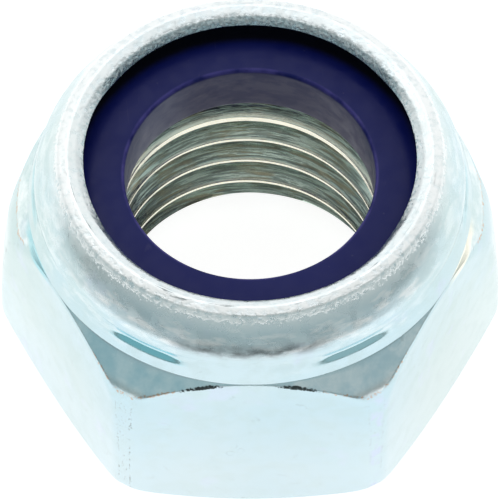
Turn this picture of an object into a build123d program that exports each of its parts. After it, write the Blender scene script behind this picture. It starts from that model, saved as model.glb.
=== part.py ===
"""Hexagon lock nut, M16 by 2, with a nylon ring held under its rolled collar.

Lengths are in millimetres and +Z is up. The origin is on the thread axis in the
plane of the bearing face, and two corners of the hexagon lie on the X axis.
"""

import os
from math import radians, sqrt, tan

from build123d import *

# Thread
thread_diameter = 16.0
thread_pitch = 2.0
thread_length = 10.9
entry_width = 0.75
exit_chamfer = 0.45

# Hexagon: its wall from the thread crests to the flats, and how far the flats
# reach above the pocket floor
wrench_wall = 5.0
hexagon_rise = 0.78
bearing_margin = 0.6
bearing_bevel_angle = 30.0
shelf_angle = 46.0

# Corners of the hexagon, which the forging die leaves short, more so at the top
corner_loss_low = 0.22
corner_loss_high = 0.86
corner_bend_height = 4.8
corner_bend_softness = 25.0
corner_crown_softness = 1.0

# Collar
collar_inset = 0.05
collar_step = 0.4
collar_waist = 0.12
flare_height = 0.95
collar_wall = 1.25
shoulder_drop = 0.4
shoulder_softness = 0.6

# Rolled lip
lip_reach = 1.5
lip_lean = 0.3
lip_rise = 1.3
lip_thickness = 0.7
rim_width = 0.81
rim_softness = 0.9
lip_softness = 0.2

# Nylon ring
ring_thickness = 3.0
ring_grip = 0.3
ring_clearance = 0.02
ring_softness = 0.2

# Radii and heights that follow from the sizes above
crest_radius = (thread_diameter - thread_pitch) / 2
entry_radius = thread_diameter / 2 + entry_width
flat_radius = crest_radius + wrench_wall
sharp_corner_radius = flat_radius * 2 / sqrt(3)
hexagon_height = thread_length + hexagon_rise
bearing_radius = flat_radius - bearing_margin
collar_base_radius = flat_radius - collar_inset
collar_radius = flat_radius - collar_step
pocket_radius = collar_radius - collar_wall
lip_radius = pocket_radius - lip_reach
lip_top_radius = lip_radius + lip_lean
ring_top = thread_length + ring_thickness
nut_height = ring_top + lip_rise + lip_thickness


def hexagon_prism():
    """The wrench hexagon, sharp and plain, before the corners are rounded off."""
    return extrude(RegularPolygon(flat_radius, 6, major_radius=False), nut_height)


def corner_outline():
    """Half section from the bearing face, up the corners, to the foot of the collar."""
    low_radius = sharp_corner_radius - corner_loss_low
    high_radius = sharp_corner_radius - corner_loss_high
    bevel_rise = (low_radius - bearing_radius) * tan(radians(bearing_bevel_angle))
    shelf_top = hexagon_height + collar_inset * tan(radians(shelf_angle))
    shelf_fall = (high_radius - collar_base_radius) * tan(radians(shelf_angle))
    bearing = Polyline((0, 0), (bearing_radius, 0), (low_radius, bevel_rise))
    corner = FilletPolyline(
        (low_radius, bevel_rise),
        (low_radius, corner_bend_height),
        (high_radius, shelf_top - shelf_fall),
        (collar_base_radius, shelf_top),
        radius=(corner_bend_softness, corner_crown_softness),
    )
    return [*bearing.edges(), *corner.edges()]


def collar_outline():
    """Half section of the collar from its flared foot to the rolled rim."""
    shelf_top = hexagon_height + collar_inset * tan(radians(shelf_angle))
    waist = (collar_radius - collar_waist, shelf_top + flare_height)
    flare = TangentArc(waist, (collar_base_radius, shelf_top), tangent=(0, -1))
    collar = FilletPolyline(
        waist,
        (collar_radius, ring_top - shoulder_drop),
        (lip_top_radius + rim_width, nut_height),
        (lip_top_radius, nut_height),
        radius=(shoulder_softness, rim_softness),
    )
    return [*flare.edges(), *collar.edges()]


def solid_of_turning():
    """Everything on the outside that is round about the thread axis."""
    closing = Polyline((lip_top_radius, nut_height), (0, nut_height), (0, 0))
    section = make_face([*corner_outline(), *collar_outline(), *closing.edges()])
    return revolve(Plane.XZ * section, Axis.Z)


def pocket():
    """Room for the ring: a straight wall that bends inwards under the lip."""
    wall_top = (pocket_radius, ring_top)
    lip_underside = (lip_radius, nut_height - lip_thickness)
    edge_start = (lip_top_radius, nut_height - lip_softness)
    edge_end = (lip_top_radius + lip_softness, nut_height)
    lines = [
        Polyline((0, thread_length), (pocket_radius, thread_length), wall_top),
        TangentArc(wall_top, lip_underside, tangent=(0, 1)),
        Line(lip_underside, edge_start),
        TangentArc(edge_start, edge_end, tangent=(0, 1)),
        Polyline(edge_end, (0, nut_height), (0, thread_length)),
    ]
    section = make_face([edge for line in lines for edge in line.edges()])
    return revolve(Plane.XZ * section, Axis.Z)


def thread_hole():
    """The tapped hole at its crest diameter, with a chamfer at each end."""
    entry_depth = entry_radius - crest_radius
    section = Polyline(
        (0, 0),
        (entry_radius, 0),
        (crest_radius, entry_depth),
        (crest_radius, thread_length - exit_chamfer),
        (crest_radius + exit_chamfer, thread_length),
        (0, thread_length),
        close=True,
    )
    return revolve(Plane.XZ * make_face(section), Axis.Z)


def nut_body():
    """The steel body in one piece."""
    return solid_of_turning() & hexagon_prism() - pocket() - thread_hole()


def nylon_ring():
    """The locking ring, which grips the bolt by a bore under the crest diameter."""
    outer = pocket_radius - ring_clearance
    inner = crest_radius - ring_grip
    section = Pos((outer + inner) / 2, ring_thickness / 2) * Rectangle(
        outer - inner, ring_thickness
    )
    inner_corners = section.vertices().sort_by(Axis.X)[:2]
    section = fillet(inner_corners, ring_softness)
    return Pos(0, 0, thread_length) * revolve(Plane.XZ * section, Axis.Z)


os.makedirs("parts", exist_ok=True)
export_step(nut_body(), "parts/nut_body.step")
export_step(nylon_ring(), "parts/nylon_ring.step")
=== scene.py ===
"""Hexagon lock nut with a nylon ring, M16 by 2, dressed for a close view.

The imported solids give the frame. The steel body gets its real thread, its worn
hexagon and its rolled collar, and the ring gets its moulded finish. Lengths are
in metres, +Z is up and the thread axis is the Z axis.
"""

from functools import partial, reduce
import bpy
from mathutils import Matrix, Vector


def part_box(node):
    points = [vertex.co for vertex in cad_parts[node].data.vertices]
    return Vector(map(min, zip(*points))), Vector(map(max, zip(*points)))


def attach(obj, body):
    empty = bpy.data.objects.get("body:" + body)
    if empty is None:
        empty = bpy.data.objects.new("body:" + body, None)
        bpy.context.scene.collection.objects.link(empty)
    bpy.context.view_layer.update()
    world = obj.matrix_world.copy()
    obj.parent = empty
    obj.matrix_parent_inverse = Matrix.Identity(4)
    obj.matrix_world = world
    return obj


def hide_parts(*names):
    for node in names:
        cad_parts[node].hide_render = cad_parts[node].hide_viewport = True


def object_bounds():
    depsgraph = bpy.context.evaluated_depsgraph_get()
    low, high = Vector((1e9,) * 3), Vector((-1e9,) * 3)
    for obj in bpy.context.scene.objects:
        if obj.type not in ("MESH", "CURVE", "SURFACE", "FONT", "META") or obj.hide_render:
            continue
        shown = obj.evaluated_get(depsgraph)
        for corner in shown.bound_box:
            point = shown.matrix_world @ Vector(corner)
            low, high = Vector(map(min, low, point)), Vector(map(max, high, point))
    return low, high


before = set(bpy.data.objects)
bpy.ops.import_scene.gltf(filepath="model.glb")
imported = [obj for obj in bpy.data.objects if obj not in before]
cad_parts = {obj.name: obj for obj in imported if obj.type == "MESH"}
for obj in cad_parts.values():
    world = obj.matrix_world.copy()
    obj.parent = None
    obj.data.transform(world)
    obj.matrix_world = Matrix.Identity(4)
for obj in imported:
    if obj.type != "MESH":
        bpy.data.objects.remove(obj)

from types import SimpleNamespace

import bmesh
import bpy
import numpy as np
from bpy.props import FloatProperty, FloatVectorProperty, IntProperty, PointerProperty
from mathutils import Vector

bl_info = {
    "name": "Hexagon Lock Nut",
    "version": (1, 0, 0),
    "blender": (4, 5, 0),
    "location": "View3D > Sidebar > Lock Nut",
    "description": "Builds a hexagon lock nut with its nylon ring, its finishes and a small stage",
    "category": "Object",
}

MM = 0.001
TURN = 2.0 * np.pi

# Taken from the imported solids
CAD_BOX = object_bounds()
RING_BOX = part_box("nylon_ring")
ACROSS_FLATS = CAD_BOX[1].y - CAD_BOX[0].y
ACROSS_CORNERS = CAD_BOX[1].x - CAD_BOX[0].x
NUT_HEIGHT = CAD_BOX[1].z
RING_BOTTOM = RING_BOX[0].z
RING_TOP = RING_BOX[1].z
RING_OUTSIDE = RING_BOX[1].x

# Slopes, roundings and shifts of the body's outline
BEVEL_SLOPE = np.tan(np.radians(30.0))
SHELF_SLOPE = np.tan(np.radians(46.0))
CROWN_DROP = 1.08 * MM
CREASE = 0.16 * MM
WALL_DROP = 0.5 * MM
WALL_LEAN = 0.02 * MM
STREAK_SHIFT = 1.5

# Mesh columns, rows and steps
HALF_FLAT_COLUMNS = 24
RING_COLUMNS = 192
FLOOR_COLUMNS = 96
ARC_POINTS = 9
FOOT_ROWS = 30
LONGEST_STEP = 0.5 * MM
MERGE = 0.001 * MM
SHARP_ANGLE = np.radians(40.0)


# ---------------------------------------------------------------- sizes and colours


def length(name, description, default):
    """A length in metres, shown in millimetres when the scene is set so."""
    return FloatProperty(
        name=name, description=description, default=default, unit="LENGTH", precision=5
    )


def colour(name, description, default):
    """A linear colour."""
    return FloatVectorProperty(
        name=name, description=description, default=default, min=0.0, max=1.0, subtype="COLOR"
    )


class LockNutBodySizes(bpy.types.PropertyGroup):
    """Sizes of the steel body."""

    across_flats: length("Across flats", "Over two opposite flats", ACROSS_FLATS)
    across_corners: length("Across corners", "Over two worn corners", ACROSS_CORNERS)
    corner_bend: length("Corner bend", "Height where corners start to draw in", 4.7 * MM)
    corner_taper: length("Corner taper", "How far four of the corners draw in", 0.70 * MM)
    corner_crown: length("Corner crown", "Rounding of those four under the shelf", 1.5 * MM)
    front_taper: length("Front taper", "How far the two corners towards -Y draw in", 0.05 * MM)
    front_crown: length("Front crown", "Rounding of those two under the shelf", 1.2 * MM)
    height: length("Height", "Bearing face to rolled rim", NUT_HEIGHT)
    bearing_radius: length("Bearing radius", "Outside of the bearing face", 11.4 * MM)
    shelf_top: length("Shelf top", "Height where the shelf meets the collar", 11.732 * MM)
    foot_radius: length("Foot radius", "Collar where it meets the shelf", 11.95 * MM)
    foot_bead: length("Foot bead", "How far a corner's bead stands out", 0.25 * MM)
    groove_width: length("Groove width", "Height of the bead's fall into the groove", 0.31 * MM)
    groove_depth: length("Groove depth", "How far it falls", 0.26 * MM)
    groove_top: length("Groove top", "Height of the groove's upper edge", 12.70 * MM)
    waist_radius: length("Waist radius", "Smallest radius of the collar", 11.48 * MM)
    waist_height: length("Waist height", "Height of the smallest radius", 12.78 * MM)
    shoulder_radius: length("Shoulder radius", "Where the collar turns inwards", 11.6 * MM)
    shoulder_height: length("Shoulder height", "Where the collar turns inwards", 13.5 * MM)
    shoulder_softness: length("Shoulder softness", "Rounding under the flank", 1.8 * MM)
    rim_radius: length("Rim radius", "Where the flank meets the rim", 10.28 * MM)
    rim_drop: length("Rim drop", "How far the rim slopes down to there", 0.14 * MM)
    rim_softness: length("Rim softness", "Rounding between flank and rim", 0.3 * MM)
    crown_radius: length("Rim top radius", "Outside of the rim's level top", 9.84 * MM)
    flank_bulge: length("Flank bulge", "Swelling of the flank", 0.07 * MM)
    roll_radius: length("Roll radius", "Where the rim starts to roll down", 9.72 * MM)
    lip_softness: length("Lip softness", "Rounding from roll to lip", 0.45 * MM)
    lip_radius: length("Lip radius", "Lower edge of the lip", 8.8 * MM)
    back_softness: length("Back softness", "Rounding towards +Y", 0.18 * MM)
    back_roll: length("Back roll", "Inward reach of the roll", 0.6 * MM)
    back_lip: length("Back lip", "Rim to the lip's lower edge", 0.65 * MM)
    side_roll: length("Side roll", "The same towards -X and +X", 0.42 * MM)
    side_lip: length("Side lip", "The same towards -X and +X", 0.45 * MM)
    front_roll: length("Front roll", "The same towards -Y", 0.42 * MM)
    front_lip: length("Front lip", "The same towards -Y", 1.0 * MM)
    pocket_radius: length("Pocket radius", "Room for the ring", 10.35 * MM)
    pocket_floor: length("Pocket floor", "Height of the floor under the ring", RING_BOTTOM)
    pocket_bend: length("Pocket bend", "Height where its wall bends in", RING_TOP)
    unevenness: length("Unevenness", "Depth of the forming's gentle hollows", 0.03 * MM)


class LockNutThreadSizes(bpy.types.PropertyGroup):
    """Sizes of the inside thread."""

    pitch: length("Pitch", "Rise of one turn", 2.0 * MM)
    crest_radius: length("Crest radius", "Radius at the crests", 7.0 * MM)
    depth: length("Depth", "From crest to root", 1.04 * MM)
    crest_width: length("Crest width", "Flat on top of a crest", 0.26 * MM)
    top_crest_width: length("Top crest width", "The same on the uppermost turn", 0.42 * MM)
    crest_height: length("Crest height", "One crest at the back of the bore", 9.06 * MM)
    entry_radius: length("Entry radius", "Cone in the bearing face", 8.75 * MM)
    exit_chamfer: length("Exit chamfer", "Bevel at the pocket floor", 0.45 * MM)
    rows: IntProperty(name="Rows", description="Mesh rows in a pitch", default=24, min=12, max=60)


class LockNutRingSizes(bpy.types.PropertyGroup):
    """Sizes of the nylon ring."""

    outer_radius: length("Outer radius", "Radius in the pocket", RING_OUTSIDE)
    inner_radius: length("Inner radius", "Bore that grips the bolt", 6.7 * MM)
    bottom: length("Bottom", "Height of the lower face", RING_BOTTOM)
    top: length("Top", "Height of the upper face", RING_TOP)
    swell: length("Swell", "How far the top stands proud inside the lip", 0.2 * MM)
    edge_softness: length("Edge softness", "Rounding of the bore's edges", 0.2 * MM)


class LockNutFinish(bpy.types.PropertyGroup):
    """Colours of the two finishes."""

    plating: colour("Plating", "Flats and collar", (0.585, 0.725, 0.775))
    # Also the painted reflection that pales the outside lower down.
    pale: colour("Plating, pale", "Rubbed plating on the rim", (0.95, 0.98, 0.98))
    cold: colour("Plating, cold", "Bluish film in patches", (0.545, 0.715, 0.785))
    warm: colour("Plating, warm", "Yellowish film in patches", (0.54, 0.67, 0.66))
    violet: colour("Plating, violet", "Film in small patches", (0.66, 0.70, 0.92))
    teal: colour("Plating, teal", "Strong film in a corner's groove", (0.27, 0.72, 0.82))
    # Also the painted dark reflection at the flank's foot.
    scratch: colour("Scratch", "Darkened steel in scratches and pits", (0.20, 0.23, 0.24))
    thread_steel: colour("Thread", "Thin plating on its flanks", (0.64, 0.77, 0.69))
    thread_dark: colour("Thread, dark", "Oiled lines on its flanks", (0.14, 0.17, 0.16))
    thread_brown: colour("Thread, brown", "Stained lines on its flanks", (0.46, 0.42, 0.28))
    # Painted highlight: the thread's crests and the collar's foot towards +X.
    thread_crest: colour("Thread crest", "Rubbed crests", (1.0, 0.97, 0.82))
    # Also the painted shade in the thread's roots.
    grime: colour("Grime", "Oil and soot in the creases", (0.02, 0.025, 0.025))
    rust: colour("Rust", "First rust on edges", (0.62, 0.36, 0.20))
    nylon: colour("Nylon", "Dyed nylon of the ring", (0.005, 0.009, 0.102))
    nylon_light: colour("Nylon, light", "Paler clouds", (0.009, 0.014, 0.120))
    nylon_worn: colour("Nylon, worn", "Scuffed nylon in the bore", (0.10, 0.097, 0.175))
    # Painted highlight on the bore's wall towards -X.
    nylon_sheen: colour("Nylon, sheen", "Polish on the bore's left", (0.24, 0.27, 0.42))
    # Painted highlight along the bore's rounded top edge.
    nylon_edge: colour("Nylon, edge", "Stretched nylon on the bore's edge", (0.075, 0.065, 0.27))
    # Painted shadow: near black laid on the nylon under the rolled lip.
    nylon_soot: colour("Nylon, sooty", "Dirt under the lip", (0.001, 0.001, 0.004))


class LockNutStage(bpy.types.PropertyGroup):
    """Camera, floor and light."""

    view_elevation: FloatProperty(
        name="View elevation", description="Camera over the floor", default=0.98084, subtype="ANGLE"
    )
    view_distance: length("View distance", "Camera to the middle of the nut", 0.384)
    view_height: length("View height", "Height that the camera looks at", 6.684 * MM)
    lens: FloatProperty(name="Lens", description="Focal length", default=509.0, unit="CAMERA")
    floor_radius: length("Floor radius", "Radius of the pale floor", 0.1)
    floor_drop: length("Floor drop", "How far the floor lies under the nut", 0.02 * MM)
    floor_colour: colour("Floor", "Pale floor", (0.42, 0.42, 0.42))
    floor_glow: FloatProperty(name="Floor glow", description="Light from under it", default=2.12)
    bright: colour("Bright sky", "Light from overhead and behind", (1.0, 1.0, 1.0))
    backdrop: colour("Backdrop", "What the camera sees past the floor", (0.97, 0.97, 0.97))
    horizon: colour("Dim horizon", "Camera's side, low down", (0.25, 0.28, 0.27))
    slope: colour("Dim slope", "Camera's side, half way up", (0.45, 0.53, 0.54))
    lens_side: colour("Dim lens side", "Beside the camera", (0.27, 0.28, 0.26))


# ---------------------------------------------------------------- numbers


def smooth_lower(a, b, softness):
    """The lesser of a and b. Where they are closer than softness, a parabola joins them."""
    share = np.clip(0.5 + 0.5 * (b - a) / softness, 0.0, 1.0)
    return b + (a - b) * share - softness * share * (1.0 - share)


def smooth_upper(a, b, softness):
    """The greater of a and b. Where they are closer than softness, a parabola joins them."""
    return -smooth_lower(-a, -b, softness)


def smooth_step(value, start, end):
    """Nought below start, one above end, and 3t^2 - 2t^3 in between."""
    t = np.clip((value - start) / (end - start), 0.0, 1.0)
    return t * t * (3.0 - 2.0 * t)


def window(value, start, full, fading, end):
    """A soft step up from start to full, times a soft step down from fading to end."""
    return smooth_step(value, start, full) * (1.0 - smooth_step(value, fading, end))


def gentle_waves(angle, along, seed, turns, reach):
    """Sum of a dozen cosines of whole turns and of place along the profile, from -1 to 1.

    Each term is cos(n angle + k along + phase) with n up to turns, k up to reach and a
    seeded phase.
    """
    chance = np.random.default_rng(seed)
    terms = 12
    n = chance.integers(1, turns + 1, terms)
    k = chance.uniform(-reach, reach, terms)
    phase = chance.uniform(0.0, TURN, terms)
    sums = np.cos(n * angle[..., None] + k * along[..., None] + phase)
    return sums.mean(axis=-1) * 2.0


def turned_path(corners, radii, steps):
    """A section line through corners, each rounded by an arc that touches both its sides.

    With unit vectors a and b towards the neighbours and f half the angle between them,
    the arc's centre is at corner + (a + b) / |a + b| * radius / sin f, and it is swept
    between the two touching points, which lie radius / tan f from the corner.
    """
    corners = np.asarray(corners, float)
    middle = corners[1:-1]
    to_last = corners[:-2] - middle
    to_next = corners[2:] - middle
    to_last /= np.linalg.norm(to_last, axis=1, keepdims=True)
    to_next /= np.linalg.norm(to_next, axis=1, keepdims=True)
    half = 0.5 * np.arccos(np.clip((to_last * to_next).sum(1), -1.0, 1.0))
    radii = np.asarray(radii, float)
    reach = (radii / np.tan(half))[:, None]
    bisector = to_last + to_next
    bisector /= np.linalg.norm(bisector, axis=1, keepdims=True)
    centre = middle + bisector * (radii / np.sin(half))[:, None]
    start = middle + to_last * reach - centre
    end = middle + to_next * reach - centre
    turn = (np.pi - 2.0 * half)[:, None, None]
    t = np.linspace(0.0, 1.0, steps)[None, :, None]
    arcs = np.sin((1.0 - t) * turn) * start[:, None] + np.sin(t * turn) * end[:, None]
    arcs = (centre[:, None] + arcs / np.sin(turn)).reshape(-1, 2)
    return np.concatenate([corners[:1], arcs, corners[-1:]])


def touching_arc(start, end, steps):
    """Arc that leaves start straight up or down and passes through end.

    Its centre is level with start, at a radius of (dr^2 + dz^2) / (2 dr) towards end.
    """
    dr, dz = end[0] - start[0], end[1] - start[1]
    radius = (dr * dr + dz * dz) / (2.0 * dr)
    last = np.arctan2(dz / abs(radius), (radius - dr) / radius)
    t = np.linspace(0.0, last, steps)
    across = start[0] + radius * (1.0 - np.cos(t))
    return np.stack([across, start[1] + abs(radius) * np.sin(t)], axis=1)


def fill_lines(path, longest):
    """Adds points to a section line so that no step is longer than longest."""
    step = np.linalg.norm(np.diff(path, axis=0), axis=1)
    pieces = np.maximum(np.ceil(step / longest - 1e-6).astype(int), 1)
    start = np.repeat(np.arange(len(step)), pieces)
    first = np.concatenate([[0], np.cumsum(pieces)[:-1]])
    share = (np.arange(pieces.sum()) - np.repeat(first, pieces)) / np.repeat(pieces, pieces)
    filled = path[start] + (path[start + 1] - path[start]) * share[:, None]
    return np.concatenate([filled, path[-1:]])


def evenly(path, count):
    """Points at even distances along a section line, count of them."""
    step = np.linalg.norm(np.diff(path, axis=0), axis=1)
    travelled = np.concatenate([[0.0], np.cumsum(step)])
    wanted = np.linspace(0.0, travelled[-1], count)
    return np.stack([np.interp(wanted, travelled, column) for column in path.T], axis=1)


# ---------------------------------------------------------------- meshes


def grid_faces(rows, columns, closed, first):
    """Four-cornered faces between neighbouring rows and columns, numbered from first."""
    row = np.arange(rows - 1)[:, None] * columns
    column = np.arange(columns if closed else columns - 1)[None, :]
    beside = (column + 1) % columns
    above = row + columns
    faces = [row + column, row + beside, above + beside, above + column]
    return first + np.stack(faces, axis=-1).reshape(-1, 4)


def placed(radius, angle, height):
    """Points at a radius, an angle and a height, as x = r cos a, y = r sin a, z = height."""
    points = [radius * np.cos(angle), radius * np.sin(angle), height + 0.0 * angle]
    return np.stack(points, axis=-1).reshape(-1, 3)


def closed_mesh(name, points, faces, values):
    """One closed shell: the points go in with their values, doubles merge, faces look out."""
    mesh = bpy.data.meshes.new(name)
    mesh.vertices.add(len(points))
    mesh.vertices.foreach_set("co", points.astype(np.float32).ravel())
    mesh.loops.add(faces.size)
    mesh.loops.foreach_set("vertex_index", faces.astype(np.int32).ravel())
    mesh.polygons.add(len(faces))
    starts = np.arange(0, faces.size, faces.shape[1], dtype=np.int32)
    mesh.polygons.foreach_set("loop_start", starts)
    for key, value in values.items():
        data = mesh.attributes.new(key, "FLOAT", "POINT").data
        data.foreach_set("value", value.astype(np.float32).ravel())
    mesh.update(calc_edges=True)
    shell = bmesh.new()
    shell.from_mesh(mesh)
    bmesh.ops.remove_doubles(shell, verts=shell.verts, dist=MERGE)
    bmesh.ops.dissolve_degenerate(shell, edges=shell.edges, dist=0.5 * MERGE)
    bmesh.ops.recalc_face_normals(shell, faces=shell.faces)
    open_edges = sum(1 for edge in shell.edges if len(edge.link_faces) != 2)
    if open_edges:
        raise RuntimeError(f"{name} has {open_edges} edges without two faces")
    shell.to_mesh(mesh)
    shell.free()
    mesh.shade_smooth()
    mesh.set_sharp_from_angle(angle=SHARP_ANGLE)
    return mesh


# ---------------------------------------------------------------- steel body


def hexagon_columns(half_count):
    """Column angles round the hexagon, crowded at its corners, as (angle, distance factor).

    A flat is crossed by u from -1 to 1. The place along it is 0.35 u + 0.65 sin(pi u / 2)
    times half its width, and the distance factor is 1 / cos of the angle off its middle.
    """
    u = np.linspace(-1.0, 1.0, 2 * half_count, endpoint=False)
    place = 0.35 * u + 0.65 * np.sin(0.5 * np.pi * u)
    off = np.arctan(place * np.tan(np.pi / 6.0))
    middles = np.radians(30.0 + 60.0 * np.arange(6))
    angle = (middles[:, None] + off[None, :]).ravel()
    return angle, np.tile(1.0 / np.cos(off), 6)


def off_corner(angle):
    """Degrees to the nearest corner, the corners being at whole sixths of a turn."""
    return np.abs((np.degrees(angle) + 30.0) % 60.0 - 30.0)


def off_streak(angle):
    """The same, but from a line STREAK_SHIFT degrees nearer to the Y axis than each corner."""
    return off_corner(angle + np.radians(STREAK_SHIFT) * np.sign(np.cos(angle)))


def by_corner(angle, most, front):
    """One value at the two corners towards -Y, which the die filled best, another at the rest.

    The share of the front value is a soft step in -sin angle, from 0.44 to 0.56.
    """
    return most + (front - most) * smooth_step(-np.sin(angle), 0.44, 0.56)


def corner_line(sizes, angle, height):
    """Radius of the turned corners: level up to the bend, then drawn in evenly."""
    low = sizes.across_corners / 2.0
    rise = sizes.shelf_top - CROWN_DROP - sizes.corner_bend
    slope = by_corner(angle, sizes.corner_taper, sizes.front_taper) / rise
    drawn_in = low - (height - sizes.corner_bend) * slope
    return smooth_lower(low + 0.0 * height, drawn_in, 0.4 * MM)


def crown_height(sizes, angle, factor):
    """Height where the shelf would meet the flat, or the corner if that is nearer."""
    taper = by_corner(angle, sizes.corner_taper, sizes.front_taper)
    radius = np.minimum(sizes.across_flats / 2.0 * factor, sizes.across_corners / 2.0 - taper)
    return sizes.shelf_top - (radius - sizes.foot_radius) * SHELF_SLOPE


def hexagon_sides(sizes, angle, factor):
    """Radius and height of the outside from the bearing face up to the collar's foot.

    The radius is the least of four: the bevel rising at 30 degrees from the bearing face,
    the turned corner line, the shelf falling at 46 degrees from the collar's foot, and the
    flat at half the width across flats times the column's distance factor. Rows crowd at
    the lower and the upper crease of every column.
    """
    flat = sizes.across_flats / 2.0 * factor
    corner = np.minimum(flat, sizes.across_corners / 2.0)
    low_crease = (corner - sizes.bearing_radius) * BEVEL_SLOPE
    high_crease = crown_height(sizes, angle, factor)
    near_low = np.array([-0.12, -0.08, -0.045, -0.015, 0.015, 0.045, 0.08, 0.13]) * MM
    near_high = np.array([-0.3, -0.2, -0.13, -0.08, -0.045, -0.015]) * MM
    rising = np.array([0.0, 0.12, 0.4, 0.7])[:, None] * (low_crease + near_low[0])
    around_low = low_crease + near_low[:, None]
    around_high = high_crease + near_high[:, None]
    share = np.linspace(0.0, 1.0, 32)[1:-1, None]
    between = around_low[-1] + (around_high[0] - around_low[-1]) * share
    falling = np.array([0.02, 0.06, 0.12, 0.2, 0.32, 0.48, 0.66, 0.84, 1.0])[:, None]
    shelf_rows = high_crease + (sizes.shelf_top - high_crease) * falling
    height = np.concatenate([rising, around_low, between, around_high, shelf_rows])
    bevel = sizes.bearing_radius + height / BEVEL_SLOPE
    shelf = sizes.foot_radius + (sizes.shelf_top - height) / SHELF_SLOPE
    crown = by_corner(angle, sizes.corner_crown, sizes.front_crown)
    crown = crown + (CREASE - crown) * smooth_step(off_corner(angle), 10.0, 26.0)
    turned = smooth_lower(bevel, corner_line(sizes, angle, height), 3.0 * CREASE)
    turned = smooth_lower(turned, shelf, crown)
    return smooth_lower(turned, flat + 0.0 * height, CREASE), height


def collar_foot(sizes, angle):
    """Radius and height of the collar wall below the shoulder, at every column.

    Two section lines are blended by the angle off the nearest corner. Over a corner the
    wall rises from a bead, steps in to the waist and swells to the shoulder. Over a flat
    it leans evenly from foot to shoulder.
    """
    foot = np.array([sizes.foot_radius, sizes.shelf_top])
    shoulder = np.array([sizes.shoulder_radius - WALL_LEAN, sizes.shoulder_height - WALL_DROP])
    bead = (sizes.waist_radius + sizes.foot_bead, sizes.groove_top - sizes.groove_width)
    groove = (bead[0] - sizes.groove_depth, sizes.groove_top)
    over_corner = turned_path([foot, bead, groove, shoulder], [0.5 * MM, 0.24 * MM], ARC_POINTS)
    swelling = foot * 0.45 + shoulder * 0.55 + (0.03 * MM, 0.0)
    over_flat = turned_path([foot, swelling, shoulder], [6.0 * MM], ARC_POINTS)
    share = smooth_step(off_streak(angle), 4.5, 13.5)[None, :, None]
    over_corner = evenly(over_corner, FOOT_ROWS)[:, None] * (1.0 - share)
    blended = over_corner + evenly(over_flat, FOOT_ROWS)[:, None] * share
    return blended[..., 0], blended[..., 1]


def collar_path(sizes, roll, lip, softness):
    """Section of the collar from its shoulder, over the rim and the lip, to the pocket floor.

    The roll reaches inwards by roll and sinks by a quarter of that, then turns down with
    the given softness. The lip's lower edge hangs lip under the rim.
    """
    shoulder = np.array([sizes.shoulder_radius, sizes.shoulder_height])
    rim = np.array([sizes.rim_radius, sizes.height - sizes.rim_drop])
    outward = np.array([rim[1] - shoulder[1], shoulder[0] - rim[0]])
    outward /= np.linalg.norm(rim - shoulder)
    tip = (sizes.lip_radius, sizes.height - lip)
    bend = touching_arc((sizes.pocket_radius, sizes.pocket_bend), tip, 14)[::-1]
    corners = [
        shoulder - (WALL_LEAN, WALL_DROP),
        shoulder,
        shoulder * 0.5 + rim * 0.5 + outward * sizes.flank_bulge,
        rim,
        (sizes.crown_radius, sizes.height),
        (sizes.roll_radius, sizes.height),
        (sizes.roll_radius - roll, sizes.height - 0.25 * roll),
        tip,
        bend[2],
    ]
    edges = np.array([9.0, 0.3, 0.3, 0.05]) * MM
    radii = [sizes.shoulder_softness, edges[0], sizes.rim_softness, *edges[1:3], softness, edges[3]]
    outside = turned_path(corners, radii, ARC_POINTS)
    floor = np.array([(sizes.pocket_radius, sizes.pocket_floor)])
    return np.concatenate([outside[1:-1], bend[2:], floor])


def collar_rows(sizes, angle):
    """Radius and height of the collar, rim, lip and pocket wall at every column.

    Three section lines are blended. The front one counts where -sin angle passes 0.35 to
    0.85, that of the sides where the size of cos angle passes 0.8 to 0.95, and the back
    one elsewhere.
    """
    lines = [
        collar_path(sizes, sizes.front_roll, sizes.front_lip, sizes.lip_softness),
        collar_path(sizes, sizes.side_roll, sizes.side_lip, sizes.lip_softness),
        collar_path(sizes, sizes.back_roll, sizes.back_lip, sizes.back_softness),
    ]
    lines = fill_lines(np.concatenate(lines, axis=1), LONGEST_STEP)
    front = smooth_step(-np.sin(angle), 0.35, 0.85)
    side = smooth_step(np.abs(np.cos(angle)), 0.8, 0.95) * (1.0 - front)
    shares = (front, side, 1.0 - front - side)
    radius = sum(lines[:, 2 * i, None] * share for i, share in enumerate(shares))
    height = sum(lines[:, 2 * i + 1, None] * share for i, share in enumerate(shares))
    return radius, height


def thread_radius(thread, offset, height):
    """Radius of the thread at a distance along the axis from the nearest crest.

    It is the crest radius, plus the flank that rises by tan 60 degrees past half the
    crest's width, up to the depth. Both bends are soft. The uppermost crest is rubbed
    broader than the rest.
    """
    top_turn = thread.crest_height - 0.9 * MM, thread.crest_height - 0.6 * MM
    broader = (thread.top_crest_width - thread.crest_width) * smooth_step(height, *top_turn)
    flank = (np.abs(offset) - (thread.crest_width + broader) / 2.0) * np.sqrt(3.0)
    risen = smooth_upper(flank, 0.0 * flank, 0.07 * MM)
    return thread.crest_radius + smooth_lower(risen, thread.depth + 0.0 * risen, 0.22 * MM)


def bore_radius(sizes, thread, angle, height):
    """Radius of the tapped bore: the thread's, or that of the cone at either end if wider.

    The nearest crest lies at the crest height plus a pitch for each turn of the angle
    from the back of the bore, and whole pitches from there.
    """
    turns = (angle - np.pi / 2.0) / TURN
    offset = height - thread.crest_height - thread.pitch * turns
    offset = offset - thread.pitch * np.round(offset / thread.pitch)
    radius = thread_radius(thread, offset, height)
    entry = thread.entry_radius - height
    leaving = thread.crest_radius + height - (sizes.pocket_floor - thread.exit_chamfer)
    return smooth_upper(smooth_upper(radius, entry, 0.08 * MM), leaving, 0.08 * MM)


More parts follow.
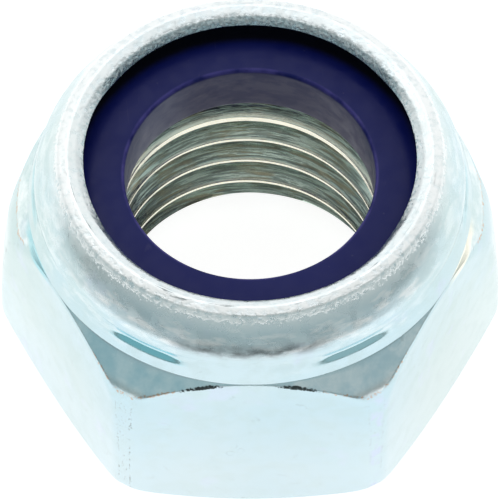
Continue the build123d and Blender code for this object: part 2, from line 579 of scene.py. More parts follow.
def outside_grid(sizes, thread, angle, factor):
    """Rows from the bore's edge in the bearing face, round the outside, to the pocket floor."""
    share = np.array([0.0, 0.015, 0.05, 0.25, 0.5, 0.75, 0.95, 0.985])[:, None]
    bearing_width = sizes.bearing_radius - thread.entry_radius
    bearing = thread.entry_radius + bearing_width * share + 0.0 * angle
    side_radius, side_height = hexagon_sides(sizes, angle, factor)
    foot_radius, foot_height = collar_foot(sizes, angle)
    collar_radius, collar_height = collar_rows(sizes, angle)
    edge = bore_radius(sizes, thread, angle, sizes.pocket_floor + 0.0 * angle)
    share = np.array([0.33, 0.66, 1.0])[:, None]
    floor = sizes.pocket_radius + (edge - sizes.pocket_radius) * share
    level = 0.0 * floor + sizes.pocket_floor
    radius = [bearing, side_radius, foot_radius[1:], collar_radius, floor]
    height = [0.0 * bearing, side_height, foot_height[1:], collar_height, level]
    return np.concatenate(radius), np.concatenate(height)


def thread_grid(sizes, thread, angle):
    """Rows that climb with the thread, cut level at the pocket floor and the bearing face.

    Row j starts at j / rows of a pitch and rises by a pitch for each turn, so its far end
    meets the start of the row one pitch higher. Heights outside the bore are set to its
    ends, where the rows run together.
    """
    angle = np.append(angle, TURN)
    count = int(np.ceil((sizes.pocket_floor / thread.pitch + 1.0) * thread.rows)) + 1
    start = sizes.pocket_floor - np.arange(count) * (thread.pitch / thread.rows)
    climbing = start[:, None] + thread.pitch * angle / TURN
    height = np.clip(climbing, 0.0, sizes.pocket_floor)
    return angle, bore_radius(sizes, thread, angle + 0.0 * height, height), height


def crease_values(sizes, angle, factor, radius, height):
    """Masks over the outside rows: shelf, corners, dirt and rust on the shelf's edge, groove.

    A corner counts where the radius lies inside the flat and below the crown. Dirt gathers
    at the edge where the shelf is 0.04 to 0.9 mm wide, most on the two flats that face along
    the Y axis. Rust sits on the edge where the shelf is wider. The groove lies over a corner,
    just under its upper edge. A painted reflection runs along the collar's foot, left and right.
    """
    edge = crown_height(sizes, angle, factor)
    over_edge = height - edge
    below = 1.0 - smooth_step(over_edge, -0.6 * MM, -0.2 * MM)
    below = below * smooth_step(height, 0.4 * MM, 0.9 * MM)
    inside = sizes.across_flats / 2.0 * factor - radius
    outside = smooth_step(radius, 11.8 * MM, 11.9 * MM)
    width = (sizes.shelf_top - edge) / SHELF_SLOPE
    near_edge = 1.0 - smooth_step(np.abs(over_edge), 0.04 * MM, 0.22 * MM)
    facing = smooth_step(np.abs(np.sin(angle)), 0.82, 0.92)
    low, top, shelf_top = sizes.groove_top - sizes.groove_width, sizes.groove_top, sizes.shelf_top
    groove = window(height, low - 0.08 * MM, low + 0.04 * MM, top - 0.06 * MM, top)
    groove = groove * (1.0 - smooth_step(off_streak(angle), 6.0, 12.5))
    beside = smooth_step(np.abs(np.cos(angle)), 0.88, 0.93) * smooth_step(-np.sin(angle), 0.08, 0.2)
    foot = np.array([-0.4, -0.25, 0.02, 0.12]) * MM + shelf_top
    shelf = smooth_step(over_edge, 0.02 * MM, 0.08 * MM)
    shelf = shelf * (1.0 - smooth_step(height, shelf_top - 0.04 * MM, shelf_top))
    dirty = window(width, 0.02 * MM, 0.26 * MM, 0.2 * MM, 1.05 * MM)
    worn = window(inside, 0.055 * MM, 0.085 * MM, 0.13 * MM, 0.17 * MM)
    band = smooth_step(inside, 0.1 * MM, 0.17 * MM)
    return {
        "shelf": shelf * outside,
        "side_foot_reflection": beside * window(height, *foot) * outside,
        "corner_band": band * below * by_corner(angle, 0.2, 1.0),
        "corner_wear": worn * below,
        "crease_dirt": near_edge * dirty * outside * facing,
        "crown_rust": near_edge * smooth_step(width, 0.45 * MM, 0.8 * MM) * outside,
        "groove_film": groove * by_corner(angle, 0.25, 1.0),
    }


def steel_body_mesh(sizes, thread):
    """The whole body as one ring-shaped grid, the outside and the bore joined at both ends."""
    angle, factor = hexagon_columns(HALF_FLAT_COLUMNS)
    radius, height = outside_grid(sizes, thread, angle, factor)
    creases = crease_values(sizes, angle, factor, radius, height)
    collar = smooth_step(height, sizes.shelf_top, sizes.waist_height)
    collar = collar * smooth_step(radius, 9.2 * MM, 9.8 * MM)
    dents = gentle_waves(angle + 0.0 * radius, height / MM, 7, 9, 0.8)
    radius = radius - sizes.unevenness * collar * (0.5 + 0.5 * dents)
    bore_angle, bore, bore_height = thread_grid(sizes, thread, angle)
    points = [placed(radius, angle, height), placed(bore, bore_angle, bore_height)]
    faces = [
        grid_faces(len(radius), len(angle), True, 0),
        grid_faces(len(bore), len(bore_angle), False, radius.size),
    ]
    on_outside, in_bore = np.zeros(radius.size), np.zeros(bore.size)
    values = {key: np.concatenate([value.ravel(), in_bore]) for key, value in creases.items()}
    depth = np.clip((bore - thread.crest_radius) / thread.depth, 0.0, 1.0)
    values["in_bore"] = np.concatenate([on_outside, in_bore + 1.0])
    values["thread_depth"] = np.concatenate([on_outside, depth.ravel()])
    return closed_mesh("steel_body", np.concatenate(points), np.concatenate(faces), values)


# ---------------------------------------------------------------- nylon ring


def nylon_ring_mesh(sizes):
    """The ring: a rounded rectangle turned about the axis, whose top swells to the bore."""
    r0, r1, z0, z1 = sizes.inner_radius, sizes.outer_radius, sizes.bottom, sizes.top
    seam = ((r0 + r1) / 2.0, z1)
    inner, outer = sizes.edge_softness, 0.05 * MM
    corners = [seam, (r0, z1), (r0, z0), (r1, z0), (r1, z1), seam]
    path = fill_lines(turned_path(corners, [inner, inner, outer, outer], 7), 0.35 * MM)
    angle = np.linspace(0.0, TURN, RING_COLUMNS, endpoint=False)
    radius = path[:, 0][:, None] + 0.0 * angle
    height = path[:, 1][:, None] + 0.0 * angle
    on_top = smooth_step(height, z1 - 0.3 * MM, z1)
    waves = gentle_waves(angle + 0.0 * radius, radius / MM, 3, 5, 0.9)
    swell = sizes.swell * (1.0 - smooth_step(radius, 8.3 * MM, 9.8 * MM))
    height = height + on_top * (swell - 0.02 * MM * (0.5 + 0.5 * waves))
    faces = grid_faces(len(radius), len(angle), True, 0)
    return closed_mesh("nylon_ring_surface", placed(radius, angle, height), faces, {})


# ---------------------------------------------------------------- shader nodes


class Shader:
    """Adds nodes to a material, a world or a node group, and joins them."""

    def __init__(self, tree):
        self.tree = tree

    def add(self, kind, inputs=None, **settings):
        """A node with its settings, its inputs fed by sockets or plain values."""
        node = self.tree.nodes.new(kind if kind.startswith("Node") else "ShaderNode" + kind)
        for key, value in settings.items():
            setattr(node, key, value)
        for key, value in (inputs or {}).items():
            self.feed(node, key, value)
        return node

    def feed(self, node, key, value):
        """Joins a socket to an input, or sets the input to a number, a vector or a colour."""
        target = node.inputs[key]
        if isinstance(value, bpy.types.NodeSocket):
            self.tree.links.new(value, target)
        else:
            target.default_value = (*value[:3], 1.0) if target.type == "RGBA" else value

    def math(self, operation, a, b=0.0):
        """The result of one sum."""
        return self.add("Math", {0: a, 1: b}, operation=operation).outputs[0]

    def times(self, *values):
        """The product of all values."""
        return reduce(partial(self.math, "MULTIPLY"), values)

    def plus(self, *values):
        """The sum of all values."""
        return reduce(partial(self.math, "ADD"), values)

    def minus(self, a, b):
        """The first value less the second."""
        return self.math("SUBTRACT", a, b)

    def across(self, x, y):
        """The distance from the Z axis."""
        return self.math("SQRT", self.plus(self.times(x, x), self.times(y, y)))

    def ramp(self, value, low, high, out_low=0.0, out_high=1.0):
        """A soft step from out_low at low to out_high at high."""
        ends = {"From Min": low, "From Max": high, "To Min": out_low, "To Max": out_high}
        node = self.add("MapRange", {"Value": value, **ends}, interpolation_type="SMOOTHSTEP")
        return node.outputs["Result"]

    def band(self, value, start, full, fading, end):
        """A soft step up from start to full, times a soft step down from fading to end."""
        return self.times(self.ramp(value, start, full), self.ramp(value, end, fading))

    def noise(self, vector, scale, detail=2.0, roughness=0.5):
        """Even noise from nought to one."""
        inputs = {"Vector": vector, "Scale": scale, "Detail": detail, "Roughness": roughness}
        return self.add("TexNoise", inputs).outputs["Fac"]

    def mix(self, share, a, b):
        """Colour a turning into colour b by a share."""
        return self.add("Mix", {0: share, 6: a, 7: b}, data_type="RGBA").outputs[2]

    def masked(self, name):
        """A mask kept on the mesh's points."""
        return self.add("Attribute", attribute_name=name).outputs["Fac"]


class SurfaceShader(Shader):
    """The nodes of one material, with where a point lies and the colour so far."""

    def __init__(self, name, colour):
        self.material = bpy.data.materials.new(name)
        self.material.use_nodes = True
        self.material.diffuse_color = (*colour, 1.0)
        super().__init__(self.material.node_tree)
        self.tree.nodes.clear()
        self.principled = self.add("BsdfPrincipled")
        self.add("OutputMaterial", {"Surface": self.principled.outputs[0]})
        self.place = self.add("TexCoord").outputs["Object"]
        self.x, self.y, self.height = self.add("SeparateXYZ", {0: self.place}).outputs
        self.radius = self.across(self.x, self.y)
        self.colour = colour

    def tint(self, share, colour):
        """Turns the colour so far into another by a share."""
        self.colour = self.mix(share, self.colour, colour)

    def effect(self, maker, *values):
        """The mask of a shared effect, whose group is built once, from its inputs in order."""
        tree = bpy.data.node_groups.get(maker.__name__) or maker()
        return self.add("Group", dict(enumerate(values)), node_tree=tree).outputs[0]

    def patches(self, scale, low, high, place=None):
        """Soft patches of a scale, cut off between two levels of the noise."""
        return self.effect(soft_patches, place or self.place, scale, low, high)

    def lines(self, around, along, low, high, place=None):
        """Lines round the axis, stretched round it and close along it."""
        return self.effect(turning_lines, place or self.place, around, along, low, high)

    def finished(self, rough, relief, strength, **constants):
        """The material, fed with its colour, roughness and relief and with plain values."""
        inputs = {"Height": relief, "Strength": strength, "Distance": 0.03 * MM}
        self.feed(self.principled, "Base Color", self.colour)
        self.feed(self.principled, "Roughness", rough)
        self.feed(self.principled, "Normal", self.add("Bump", inputs).outputs[0])
        for key, value in constants.items():
            self.feed(self.principled, key.replace("_", " "), value)
        return self.material


def new_effect(name, **inputs):
    """An empty node group with a place, named number inputs and a mask as its output."""
    tree = bpy.data.node_groups.new(name, "ShaderNodeTree")
    tree.interface.new_socket("Place", in_out="INPUT", socket_type="NodeSocketVector")
    for key, value in inputs.items():
        socket = tree.interface.new_socket(key, in_out="INPUT", socket_type="NodeSocketFloat")
        socket.default_value = value
    tree.interface.new_socket("Mask", in_out="OUTPUT", socket_type="NodeSocketFloat")
    s = Shader(tree)
    return s, s.add("NodeGroupInput").outputs, s.add("NodeGroupOutput")


def soft_patches():
    """Cloudy patches: layered noise, cut off softly between two levels."""
    s, given, out = new_effect("soft_patches", Scale=300.0, Low=0.4, High=0.6)
    cloud = s.noise(given["Place"], given["Scale"], 4.0, 0.55)
    s.feed(out, 0, s.ramp(cloud, given["Low"], given["High"]))
    return s.tree


def turning_lines():
    """Lines round the axis: noise on (x / r, y / r, height), drawn out round or along it."""
    s, given, out = new_effect("turning_lines", Around=3.0, Along=4000.0, Low=0.35, High=0.65)
    x, y, height = s.add("SeparateXYZ", {0: given["Place"]}).outputs
    radius = s.math("MAXIMUM", s.across(x, y), 0.1 * MM)
    place = {
        0: s.times(s.math("DIVIDE", x, radius), given["Around"]),
        1: s.times(s.math("DIVIDE", y, radius), given["Around"]),
        2: s.times(s.plus(height, s.times(radius, 0.45)), given["Along"]),
    }
    line = s.noise(s.add("CombineXYZ", place).outputs[0], 1.0, 3.0, 0.6)
    s.feed(out, 0, s.ramp(line, given["Low"], given["High"]))
    return s.tree


def specks():
    """Small round specks: near a cell's middle, in a share of the cells."""
    s, given, out = new_effect("specks", Scale=3000.0, Size=0.3, Share=0.5)
    cells = s.add("TexVoronoi", {"Vector": given["Place"], "Scale": given["Scale"]})
    far = s.ramp(cells.outputs["Distance"], s.times(given["Size"], 0.5), given["Size"])
    chance = s.add("SeparateColor", {0: cells.outputs["Color"]}).outputs[0]
    chosen = s.math("LESS_THAN", chance, given["Share"])
    s.feed(out, 0, s.times(s.minus(1.0, far), chosen))
    return s.tree


def scratches():
    """Fine scratches: the narrow band where a turned, stretched noise passes one half."""
    s, given, out = new_effect("scratches", Scale=500.0, Width=0.02, Share=0.5)
    stretch = {"Vector": given["Place"], "Rotation": (0.4, 0.3, 0.6), "Scale": (1.0, 0.12, 1.0)}
    line = s.noise(s.add("Mapping", stretch).outputs[0], given["Scale"])
    away = s.math("ABSOLUTE", s.minus(line, 0.5))
    thin = s.minus(1.0, s.ramp(away, 0.0, given["Width"]))
    coarse = s.noise(given["Place"], s.times(given["Scale"], 1.7))
    s.feed(out, 0, s.times(thin, s.ramp(coarse, given["Share"], 0.75)))
    return s.tree


# ---------------------------------------------------------------- finish of the steel


def plating_masks(s, sizes):
    """Where things are on the body, as soft masks, and the noises that several marks share."""
    top, shoulder = sizes.height, sizes.shoulder_height
    m = SimpleNamespace(bore=s.masked("in_bore"), shelf=s.masked("shelf"))
    m.outside = s.minus(1.0, m.bore)
    m.right = s.ramp(s.x, -1.0 * MM, 1.0 * MM)
    m.left = s.minus(1.0, m.right)
    m.sideways = s.math("ABSOLUTE", s.x)
    m.facing = s.ramp(s.math("ABSOLUTE", s.y), 10.3 * MM, 11.2 * MM)
    m.wide = s.patches(190.0, 0.38, 0.62)
    m.small = s.patches(900.0, 0.4, 0.65)
    m.hammered = s.patches(2600.0, 0.3, 0.62)
    m.ragged = s.minus(s.noise(s.place, 5200.0, 3.0, 0.6), 0.5)
    m.speckle = s.minus(s.noise(s.place, 6500.0, 4.0, 0.7), 0.5)
    uneven = s.plus(s.height, s.times(m.ragged, 1.1 * MM))
    m.rim = s.times(m.outside, s.ramp(uneven, top - 0.5 * MM, top - 0.3 * MM))
    m.upper = s.times(m.outside, s.ramp(s.height, shoulder - 0.2 * MM, shoulder + 0.4 * MM))
    past_rim = s.ramp(s.radius, sizes.rim_radius, sizes.rim_radius + 0.15 * MM)
    m.flank = s.times(m.upper, past_rim)
    m.lip = s.times(
        m.outside,
        s.ramp(s.height, top - 0.85 * MM, top - 0.75 * MM),
        s.ramp(s.radius, 9.4 * MM, 9.2 * MM),
        s.ramp(s.y, 1.0 * MM, 6.0 * MM, 0.1, 1.0),
    )
    m.lip_marks = s.patches(4600.0, 0.42, 0.6)
    m.scratch = s.effect(scratches, s.place, 700.0, 0.010, 0.55)
    return m


def tint_flats(s, m, finish, sizes):
    """Cold, warm and violet films in clouds, warmer to the sides."""
    film = s.ramp(s.patches(120.0, 0.3, 0.6), 0.0, 1.0, 0.35, 0.9)
    violet = s.patches(340.0, 0.58, 0.72)
    streak = s.lines(9.0, 2600.0, 0.42, 0.7)
    collar = s.times(m.outside, s.ramp(s.height, sizes.shelf_top, sizes.waist_height))
    s.tint(s.times(m.wide, 0.6), finish.cold)
    s.tint(s.ramp(m.sideways, 2.5 * MM, 6.0 * MM, 0.0, 0.5), finish.cold)
    s.tint(s.times(s.ramp(m.sideways, 6.5 * MM, 10.5 * MM), film), finish.warm)
    s.tint(s.times(m.small, 0.22), finish.warm)
    s.tint(s.times(violet, 0.3), finish.violet)
    s.tint(s.times(collar, streak, m.wide, 0.35), finish.pale)


def tint_corners(s, m, finish):
    """The groove over a corner, the shelf, the painted reflection beside it along the collar's
    foot, the upright corner, and a painted reflection that pales the outside lower down.
    """
    groove = s.masked("groove_film")
    s.tint(s.times(groove, s.minus(0.85, s.times(m.right, 0.3))), finish.teal)
    s.tint(s.times(groove, m.right, 0.22), finish.pale)
    # Painted reflection: the outside pales from 10 mm down to 2 mm above the bearing face.
    s.tint(s.times(m.outside, s.ramp(s.height, 10.0 * MM, 2.0 * MM, 0.0, 0.26)), finish.pale)
    near_front = s.ramp(s.y, -3.0 * MM, -6.0 * MM)
    shelf_wear = s.plus(
        s.times(s.patches(560.0, 0.45, 0.6), 0.38),
        s.times(s.lines(16.0, 3000.0, 0.4, 0.75), 0.3),
        s.ramp(s.height, 11.1 * MM, 10.2 * MM, 0.0, 0.42),
    )
    s.tint(s.times(m.shelf, near_front, 0.5), finish.cold)
    s.tint(s.times(m.shelf, s.minus(1.0, near_front), 0.4), finish.warm)
    s.tint(s.times(m.shelf, shelf_wear), finish.pale)
    s.tint(s.times(m.shelf, m.left, near_front, 0.2), finish.teal)
    s.tint(s.times(m.shelf, m.right, 0.1), finish.pale)
    # Painted reflection along the collar's foot: teal towards -X, a cream highlight towards +X.
    streak = s.masked("side_foot_reflection")
    s.tint(s.times(streak, m.left, 0.45), finish.teal)
    s.tint(s.times(streak, m.right, 0.8), finish.thread_crest)
    tinted = s.patches(900.0, 0.45, 0.6)
    s.tint(s.times(s.masked("corner_band"), m.right, tinted, 0.5), finish.violet)


def tint_collar(s, m, finish, sizes):
    """The flank paler towards the rim as rubbed plating and less so at the sides as painted shade,
    a painted dark reflection at its foot, the hammered rim and the lip.
    """
    top, shoulder = sizes.height, sizes.shoulder_height
    smear = s.lines(5.0, 2400.0, 0.46, 0.66)
    rising = s.ramp(s.height, top - 1.3 * MM, top - 0.35 * MM, 0.15, 0.8)
    paler = s.math("MAXIMUM", rising, s.times(smear, 0.75))
    # Painted shade: the pale share falls to 0.4 towards the sides.
    paler = s.times(paler, s.ramp(m.sideways, 7.5 * MM, 10.0 * MM, 1.0, 0.4))
    s.tint(s.times(m.flank, paler), finish.pale)
    # Painted dark reflection: the flank's foot towards -Y and +Y darkened in broken lines.
    foot = s.ramp(s.height, shoulder + 1.0 * MM, shoulder + 0.35 * MM)
    foot_shade_lines = s.ramp(s.lines(12.0, 3600.0, 0.3, 0.7), 0.0, 1.0, 0.35, 0.95)
    s.tint(s.times(m.flank, foot, foot_shade_lines, m.facing), finish.scratch)
    roll = sizes.roll_radius
    outer = s.ramp(s.radius, roll - 0.1 * MM, roll + 0.2 * MM, 0.75, 0.98)
    s.tint(s.times(m.rim, outer, s.ramp(m.hammered, 0.0, 1.0, 0.6, 1.0)), finish.pale)
    s.tint(s.times(m.lip, s.ramp(m.lip_marks, 0.0, 1.0, 0.05, 0.42)), finish.scratch)


def tint_bore(s, m, finish, thread):
    """The thread's flanks in oiled and stained lines that climb with it, painted shade towards the
    roots and a painted highlight on the crests.
    """
    turn = s.math("DIVIDE", s.math("ARCTAN2", s.y, s.x), TURN)
    climbed = s.minus(s.height, s.times(turn, thread.pitch))
    along_thread = s.add("CombineXYZ", {0: s.x, 1: s.y, 2: climbed}).outputs[0]
    m.bore_line = s.lines(3.0, 7000.0, 0.42, 0.6, along_thread)
    fine_line = s.lines(4.0, 15000.0, 0.49, 0.58, along_thread)
    stain = s.patches(420.0, 0.45, 0.62, along_thread)
    deep = s.masked("thread_depth")
    top_turn = thread.crest_height - 0.8 * MM, thread.crest_height - 0.6 * MM
    crest_reach = s.ramp(s.height, *top_turn, 0.14, 0.3)
    inside = s.mix(s.times(m.bore_line, 0.6), finish.thread_steel, finish.thread_dark)
    inside = s.mix(s.times(fine_line, 0.6), inside, finish.thread_dark)
    inside = s.mix(s.times(stain, m.bore_line, 0.7), inside, finish.thread_brown)
    # Painted shade: the thread darkens towards its roots.
    inside = s.mix(s.ramp(deep, 0.75, 1.0, 0.0, 0.45), inside, finish.grime)
    # Painted highlight on the crests, broader on the uppermost turn.
    inside = s.mix(s.minus(1.0, s.ramp(deep, 0.02, crest_reach)), inside, finish.thread_crest)
    s.tint(m.bore, inside)


def mark_scratches(s, m, finish, sizes):
    """Fine scratches all over, and long ones round the rim, mostly at the front."""
    s.tint(s.times(m.outside, m.scratch, 0.25), finish.scratch)
    top = sizes.height
    on_rim = s.band(s.radius, 9.5 * MM, 9.7 * MM, 9.9 * MM, 10.05 * MM)
    on_rim = s.times(on_rim, m.outside, s.ramp(s.height, top - 0.3 * MM, top - 0.1 * MM))
    broken = s.times(s.lines(5.0, 16000.0, 0.56, 0.64), s.patches(480.0, 0.38, 0.55))
    towards_front = s.ramp(s.y, 0.0, -4.0 * MM, 0.15, 0.85)
    s.tint(s.times(on_rim, broken, towards_front), finish.scratch)


def mark_dirt(s, m, finish, sizes):
    """Dirt in the creases, pits under the flank, specks down the corners, rust on the crown."""
    crease = s.masked("crease_dirt")
    dirt = s.ramp(s.plus(crease, s.times(m.speckle, 1.9)), 0.48, 0.8)
    m.dirt = s.times(dirt, s.ramp(crease, 0.02, 0.15))
    s.tint(s.times(m.dirt, 0.95), finish.grime)
    ends = np.array([0.15, 0.4, 0.45, 0.75]) * MM + sizes.shoulder_height
    under_flank = s.times(s.band(s.height, *ends), s.patches(200.0, 0.45, 0.6))
    under_flank = s.times(under_flank, m.facing, m.outside)
    pits = s.ramp(s.plus(under_flank, s.times(m.speckle, 3.0)), 1.15, 1.4)
    s.tint(s.times(pits, 0.8), finish.scratch)
    worn = s.math("MAXIMUM", s.masked("corner_wear"), s.times(s.masked("corner_band"), 0.62))
    spotted = s.ramp(s.plus(worn, s.times(m.speckle, 3.2)), 0.92, 1.12)
    gaps = s.patches(1100.0, 0.42, 0.56)
    m.corner_specks = s.times(spotted, s.ramp(worn, 0.1, 0.4), gaps)
    s.tint(s.times(m.corner_specks, s.ramp(m.right, 0.0, 1.0, 0.62, 0.14)), finish.scratch)
    rust = s.ramp(s.plus(s.masked("crown_rust"), s.times(m.speckle, 3.4)), 0.95, 1.25)
    s.tint(s.times(rust, 0.75), finish.rust)


def plating_relief(s, m, top):
    """Height of the bump: soft waves and grain, peening on the rim, cuts and pits elsewhere."""
    peened = s.band(s.height, top - 0.6 * MM, top - 0.35 * MM, top - 0.15 * MM, top - 0.05 * MM)
    peening = s.ramp(m.sideways, 6.0 * MM, 9.0 * MM, 1.6, 0.6)
    raised = s.plus(
        s.times(s.noise(s.place, 9000.0, 3.0, 0.6), 0.12),
        s.times(s.noise(s.place, 750.0), 0.5),
        s.times(m.rim, m.hammered, 0.6),
        s.times(peened, m.outside, m.ragged, peening),
        s.times(m.bore, m.bore_line, 0.4),
    )
    cut = s.plus(
        s.times(m.lip, m.lip_marks, 0.5), s.times(m.corner_specks, 0.2), s.times(m.scratch, 0.2)
    )
    return s.minus(raised, cut)


def plating_material(finish, sizes, thread):
    """Bright plated steel: clouded on the flats, peened at the rim, lined in the bore."""
    s = SurfaceShader("bright_plating", finish.plating)
    m = plating_masks(s, sizes)
    tint_flats(s, m, finish, sizes)
    tint_corners(s, m, finish)
    tint_collar(s, m, finish, sizes)
    tint_bore(s, m, finish, thread)
    mark_scratches(s, m, finish, sizes)
    mark_dirt(s, m, finish, sizes)
    rough = s.plus(
        s.ramp(m.small, 0.0, 1.0, 0.17, 0.25),
        s.times(m.rim, s.ramp(m.hammered, 0.0, 1.0, 0.0, 0.16)),
        s.times(m.upper, 0.08),
        s.times(m.dirt, 0.3),
    )
    return s.finished(rough, plating_relief(s, m, sizes.height), 0.6, Metallic=1.0)


# ---------------------------------------------------------------- finish of the nylon and floor


def nylon_material(finish, sizes):
    """Dyed nylon, half matt, with faint moulding lines, a scuffed bore, a painted highlight on the
    bore's left and along its top edge, and a painted shadow under the lip.
    """
    s = SurfaceShader("moulded_nylon", finish.nylon)
    top, bore = sizes.top, sizes.inner_radius
    wide = s.patches(210.0, 0.35, 0.65)
    wall = s.ramp(s.height, top + 0.05 * MM, top - 0.13 * MM)
    rubbed = s.lines(5.0, 1500.0, 0.3, 0.7)
    s.tint(s.times(wide, 0.5), finish.nylon_light)
    s.tint(s.times(wall, s.ramp(rubbed, 0.0, 1.0, 0.45, 0.9)), finish.nylon_worn)
    # Painted highlight: the bore's wall is paled towards -X.
    s.tint(s.times(wall, s.ramp(s.x, -2.5 * MM, -5.0 * MM, 0.0, 0.35)), finish.nylon_sheen)
    # Painted highlight: a lighter violet along the bore's rounded top edge, in patches.
    edge = s.ramp(s.radius, bore + 0.24 * MM, bore + 0.1 * MM)
    edge = s.times(edge, s.ramp(s.height, top - 0.08 * MM, top + 0.05 * MM))
    s.tint(s.times(edge, s.patches(520.0, 0.35, 0.6), 0.8), finish.nylon_edge)
    dust = s.effect(specks, s.place, 2400.0, 0.16, 0.08)
    scratch = s.effect(scratches, s.place, 420.0, 0.008, 0.55)
    s.tint(s.times(s.math("MAXIMUM", dust, scratch), 0.2), finish.nylon_worn)
    # Painted shadow under the lip: the nylon past about 8.85 mm is darkened to near black, reaching
    # farther in towards +Y.
    farther = s.ramp(s.y, 3.0 * MM, 8.0 * MM, 0.0, 0.3 * MM)
    reach = s.plus(s.radius, farther, s.times(wide, 0.1 * MM))
    shaded = s.ramp(reach, 8.85 * MM, 9.4 * MM)
    s.tint(s.times(shaded, 0.95), finish.nylon_soot)
    rough = s.ramp(s.patches(1300.0, 0.3, 0.7), 0.0, 1.0, 0.28, 0.42)
    rough = s.plus(rough, s.times(shaded, 0.4))
    relief = s.plus(s.times(s.noise(s.place, 1100.0, 3.0), 0.6), s.times(rubbed, 0.25))
    return s.finished(rough, relief, 0.5, Specular_IOR_Level=0.17)


def floor_material(stage):
    """Pale floor, lit a little from below like a light table."""
    s = SurfaceShader("pale_floor", stage.floor_colour)
    s.tint(s.patches(60.0, 0.3, 0.7), tuple(0.985 * value for value in stage.floor_colour))
    inputs = {
        "Base Color": s.colour,
        "Roughness": 0.9,
        "Specular IOR Level": 0.0,
        "Emission Color": s.colour,
        "Emission Strength": stage.floor_glow,
    }
    for key, value in inputs.items():
        s.feed(s.principled, key, value)
    return s.material


# ---------------------------------------------------------------- stage


def floor_mesh(radius, drop):
    """A round plate just under the nut: one face through points at even angles."""
    angle = np.linspace(0.0, TURN, FLOOR_COLUMNS, endpoint=False)
    mesh = bpy.data.meshes.new("floor")
    mesh.from_pydata(placed(radius, angle, -drop).tolist(), [], [range(FLOOR_COLUMNS)])
    return mesh


def studio_sky(stage):
    """Soft light from overhead and behind, and a dim side where the camera stands.

    The dim side is darkest at the horizon, lighter half way up and dark again beside the
    camera. Straight to the camera the sky is plain and pale.
    """
    world = bpy.data.worlds.new("studio_sky")
    bpy.context.scene.world = world
    world.use_nodes = True
    world.node_tree.nodes.clear()
    s = Shader(world.node_tree)
    direction = s.add("TexCoord").outputs["Generated"]
    x, y, up = s.add("SeparateXYZ", {0: direction}).outputs
    forward = s.math("DIVIDE", y, s.math("MAXIMUM", s.across(x, y), 0.001))
    dark = s.times(s.ramp(forward, 0.45, -0.05), s.ramp(up, 0.955, 0.885), s.ramp(up, -0.3, -0.1))
    dim = s.mix(s.ramp(up, -0.08, 0.13), stage.horizon, stage.slope)
    dim = s.mix(s.ramp(up, 0.62, 0.84), dim, stage.lens_side)
    sky = s.add("Background", {"Color": s.mix(dark, stage.bright, dim)})
    backdrop = s.add("Background", {"Color": stage.backdrop})
    seen = s.add("LightPath").outputs["Is Camera Ray"]
    both = s.add("MixShader", {0: seen, 1: sky.outputs[0], 2: backdrop.outputs[0]})
    s.add("OutputWorld", {"Surface": both.outputs[0]})


def placed_object(name, data, location=(0.0, 0.0, 0.0)):
    """An object in the scene, at the origin unless a place is given."""
    piece = bpy.data.objects.new(name, data)
    piece.location = location
    bpy.context.scene.collection.objects.link(piece)
    return piece


def look_along(piece, direction):
    """Turns a camera or a lamp to look along a direction."""
    piece.rotation_euler = direction.to_track_quat("-Z", "Y").to_euler()


# ---------------------------------------------------------------- operators


class LOCKNUT_OT_steel_body(bpy.types.Operator):
    """Builds the steel body with its thread, collar and lip, and gives it its plating"""

    bl_idname = "lock_nut.steel_body"
    bl_label = "Steel Body"

    def execute(self, context):
        scene = context.scene
        sizes, thread = scene.lock_nut_body, scene.lock_nut_thread
        body = placed_object("steel_body", steel_body_mesh(sizes, thread))
        body.data.materials.append(plating_material(scene.lock_nut_finish, sizes, thread))
        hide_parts("nut_body")
        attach(body, "root")
        return {"FINISHED"}


class LOCKNUT_OT_nylon_ring(bpy.types.Operator):
    """Builds the nylon locking ring and gives it its moulded finish"""

    bl_idname = "lock_nut.nylon_ring"
    bl_label = "Nylon Ring"

    def execute(self, context):
        scene = context.scene
        ring = placed_object("nylon_locking_ring", nylon_ring_mesh(scene.lock_nut_ring))
        ring.data.materials.append(nylon_material(scene.lock_nut_finish, scene.lock_nut_ring))
        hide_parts("nylon_ring")
        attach(ring, "root")
        return {"FINISHED"}


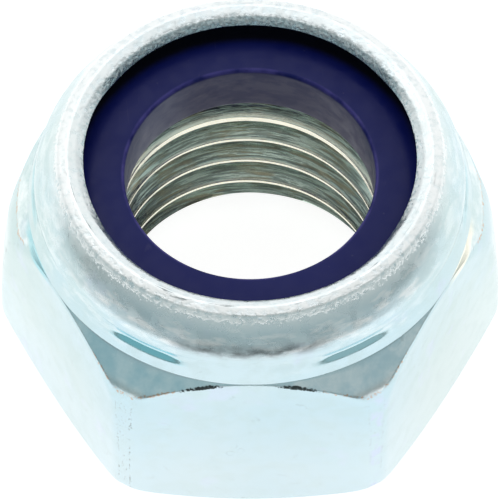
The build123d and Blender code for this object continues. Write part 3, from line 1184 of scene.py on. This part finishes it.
class LOCKNUT_OT_stage(bpy.types.Operator):
    """Sets out the pale floor, the soft studio light and the camera"""

    bl_idname = "lock_nut.stage"
    bl_label = "Stage"

    def execute(self, context):
        stage = context.scene.lock_nut_stage
        floor = placed_object("pale_floor", floor_mesh(stage.floor_radius, stage.floor_drop))
        floor.data.materials.append(floor_material(stage))
        studio_sky(stage)
        light = bpy.data.lights.new("soft_overhead", "AREA")
        light.shape = "DISK"
        light.size = 0.25
        light.energy = 0.1
        lamp = placed_object("soft_overhead", light, (-0.08, 0.2, 0.4))
        look_along(lamp, -lamp.location)
        lens = bpy.data.cameras.new("camera")
        lens.lens = stage.lens
        lens.sensor_width = 36.0
        lens.clip_start = 0.01
        lens.clip_end = 10.0
        back = Vector((0.0, -np.cos(stage.view_elevation), np.sin(stage.view_elevation)))
        target = Vector((0.0, 0.0, stage.view_height))
        camera = placed_object("camera", lens, target + back * stage.view_distance)
        look_along(camera, -back)
        context.scene.camera = camera
        context.scene.view_settings.view_transform = "Standard"
        return {"FINISHED"}


class LOCKNUT_PT_panel(bpy.types.Panel):
    """Lists the pieces of the nut and their sizes"""

    bl_idname = "LOCKNUT_PT_panel"
    bl_label = "Lock Nut"
    bl_space_type = "VIEW_3D"
    bl_region_type = "UI"
    bl_category = "Lock Nut"

    def draw(self, context):
        for operator, group in PANEL_ROWS:
            box = self.layout.box()
            box.operator(operator)
            settings = getattr(context.scene, group)
            for key in settings.bl_rna.properties.keys():
                if key not in {"rna_type", "name"}:
                    box.prop(settings, key)


PANEL_ROWS = (
    ("lock_nut.steel_body", "lock_nut_body"),
    ("lock_nut.steel_body", "lock_nut_thread"),
    ("lock_nut.nylon_ring", "lock_nut_ring"),
    ("lock_nut.nylon_ring", "lock_nut_finish"),
    ("lock_nut.stage", "lock_nut_stage"),
)
GROUPS = {
    "lock_nut_body": LockNutBodySizes,
    "lock_nut_thread": LockNutThreadSizes,
    "lock_nut_ring": LockNutRingSizes,
    "lock_nut_finish": LockNutFinish,
    "lock_nut_stage": LockNutStage,
}
OPERATORS = (LOCKNUT_OT_steel_body, LOCKNUT_OT_nylon_ring, LOCKNUT_OT_stage)
CLASSES = (*GROUPS.values(), *OPERATORS, LOCKNUT_PT_panel)


def register():
    for item in CLASSES:
        bpy.utils.register_class(item)
    for key, group in GROUPS.items():
        setattr(bpy.types.Scene, key, PointerProperty(type=group))


def unregister():
    for key in GROUPS:
        delattr(bpy.types.Scene, key)
    for item in reversed(CLASSES):
        bpy.utils.unregister_class(item)


def main():
    register()
    bpy.ops.lock_nut.steel_body()
    bpy.ops.lock_nut.nylon_ring()
    bpy.ops.lock_nut.stage()


if __name__ == "__main__":
    main()
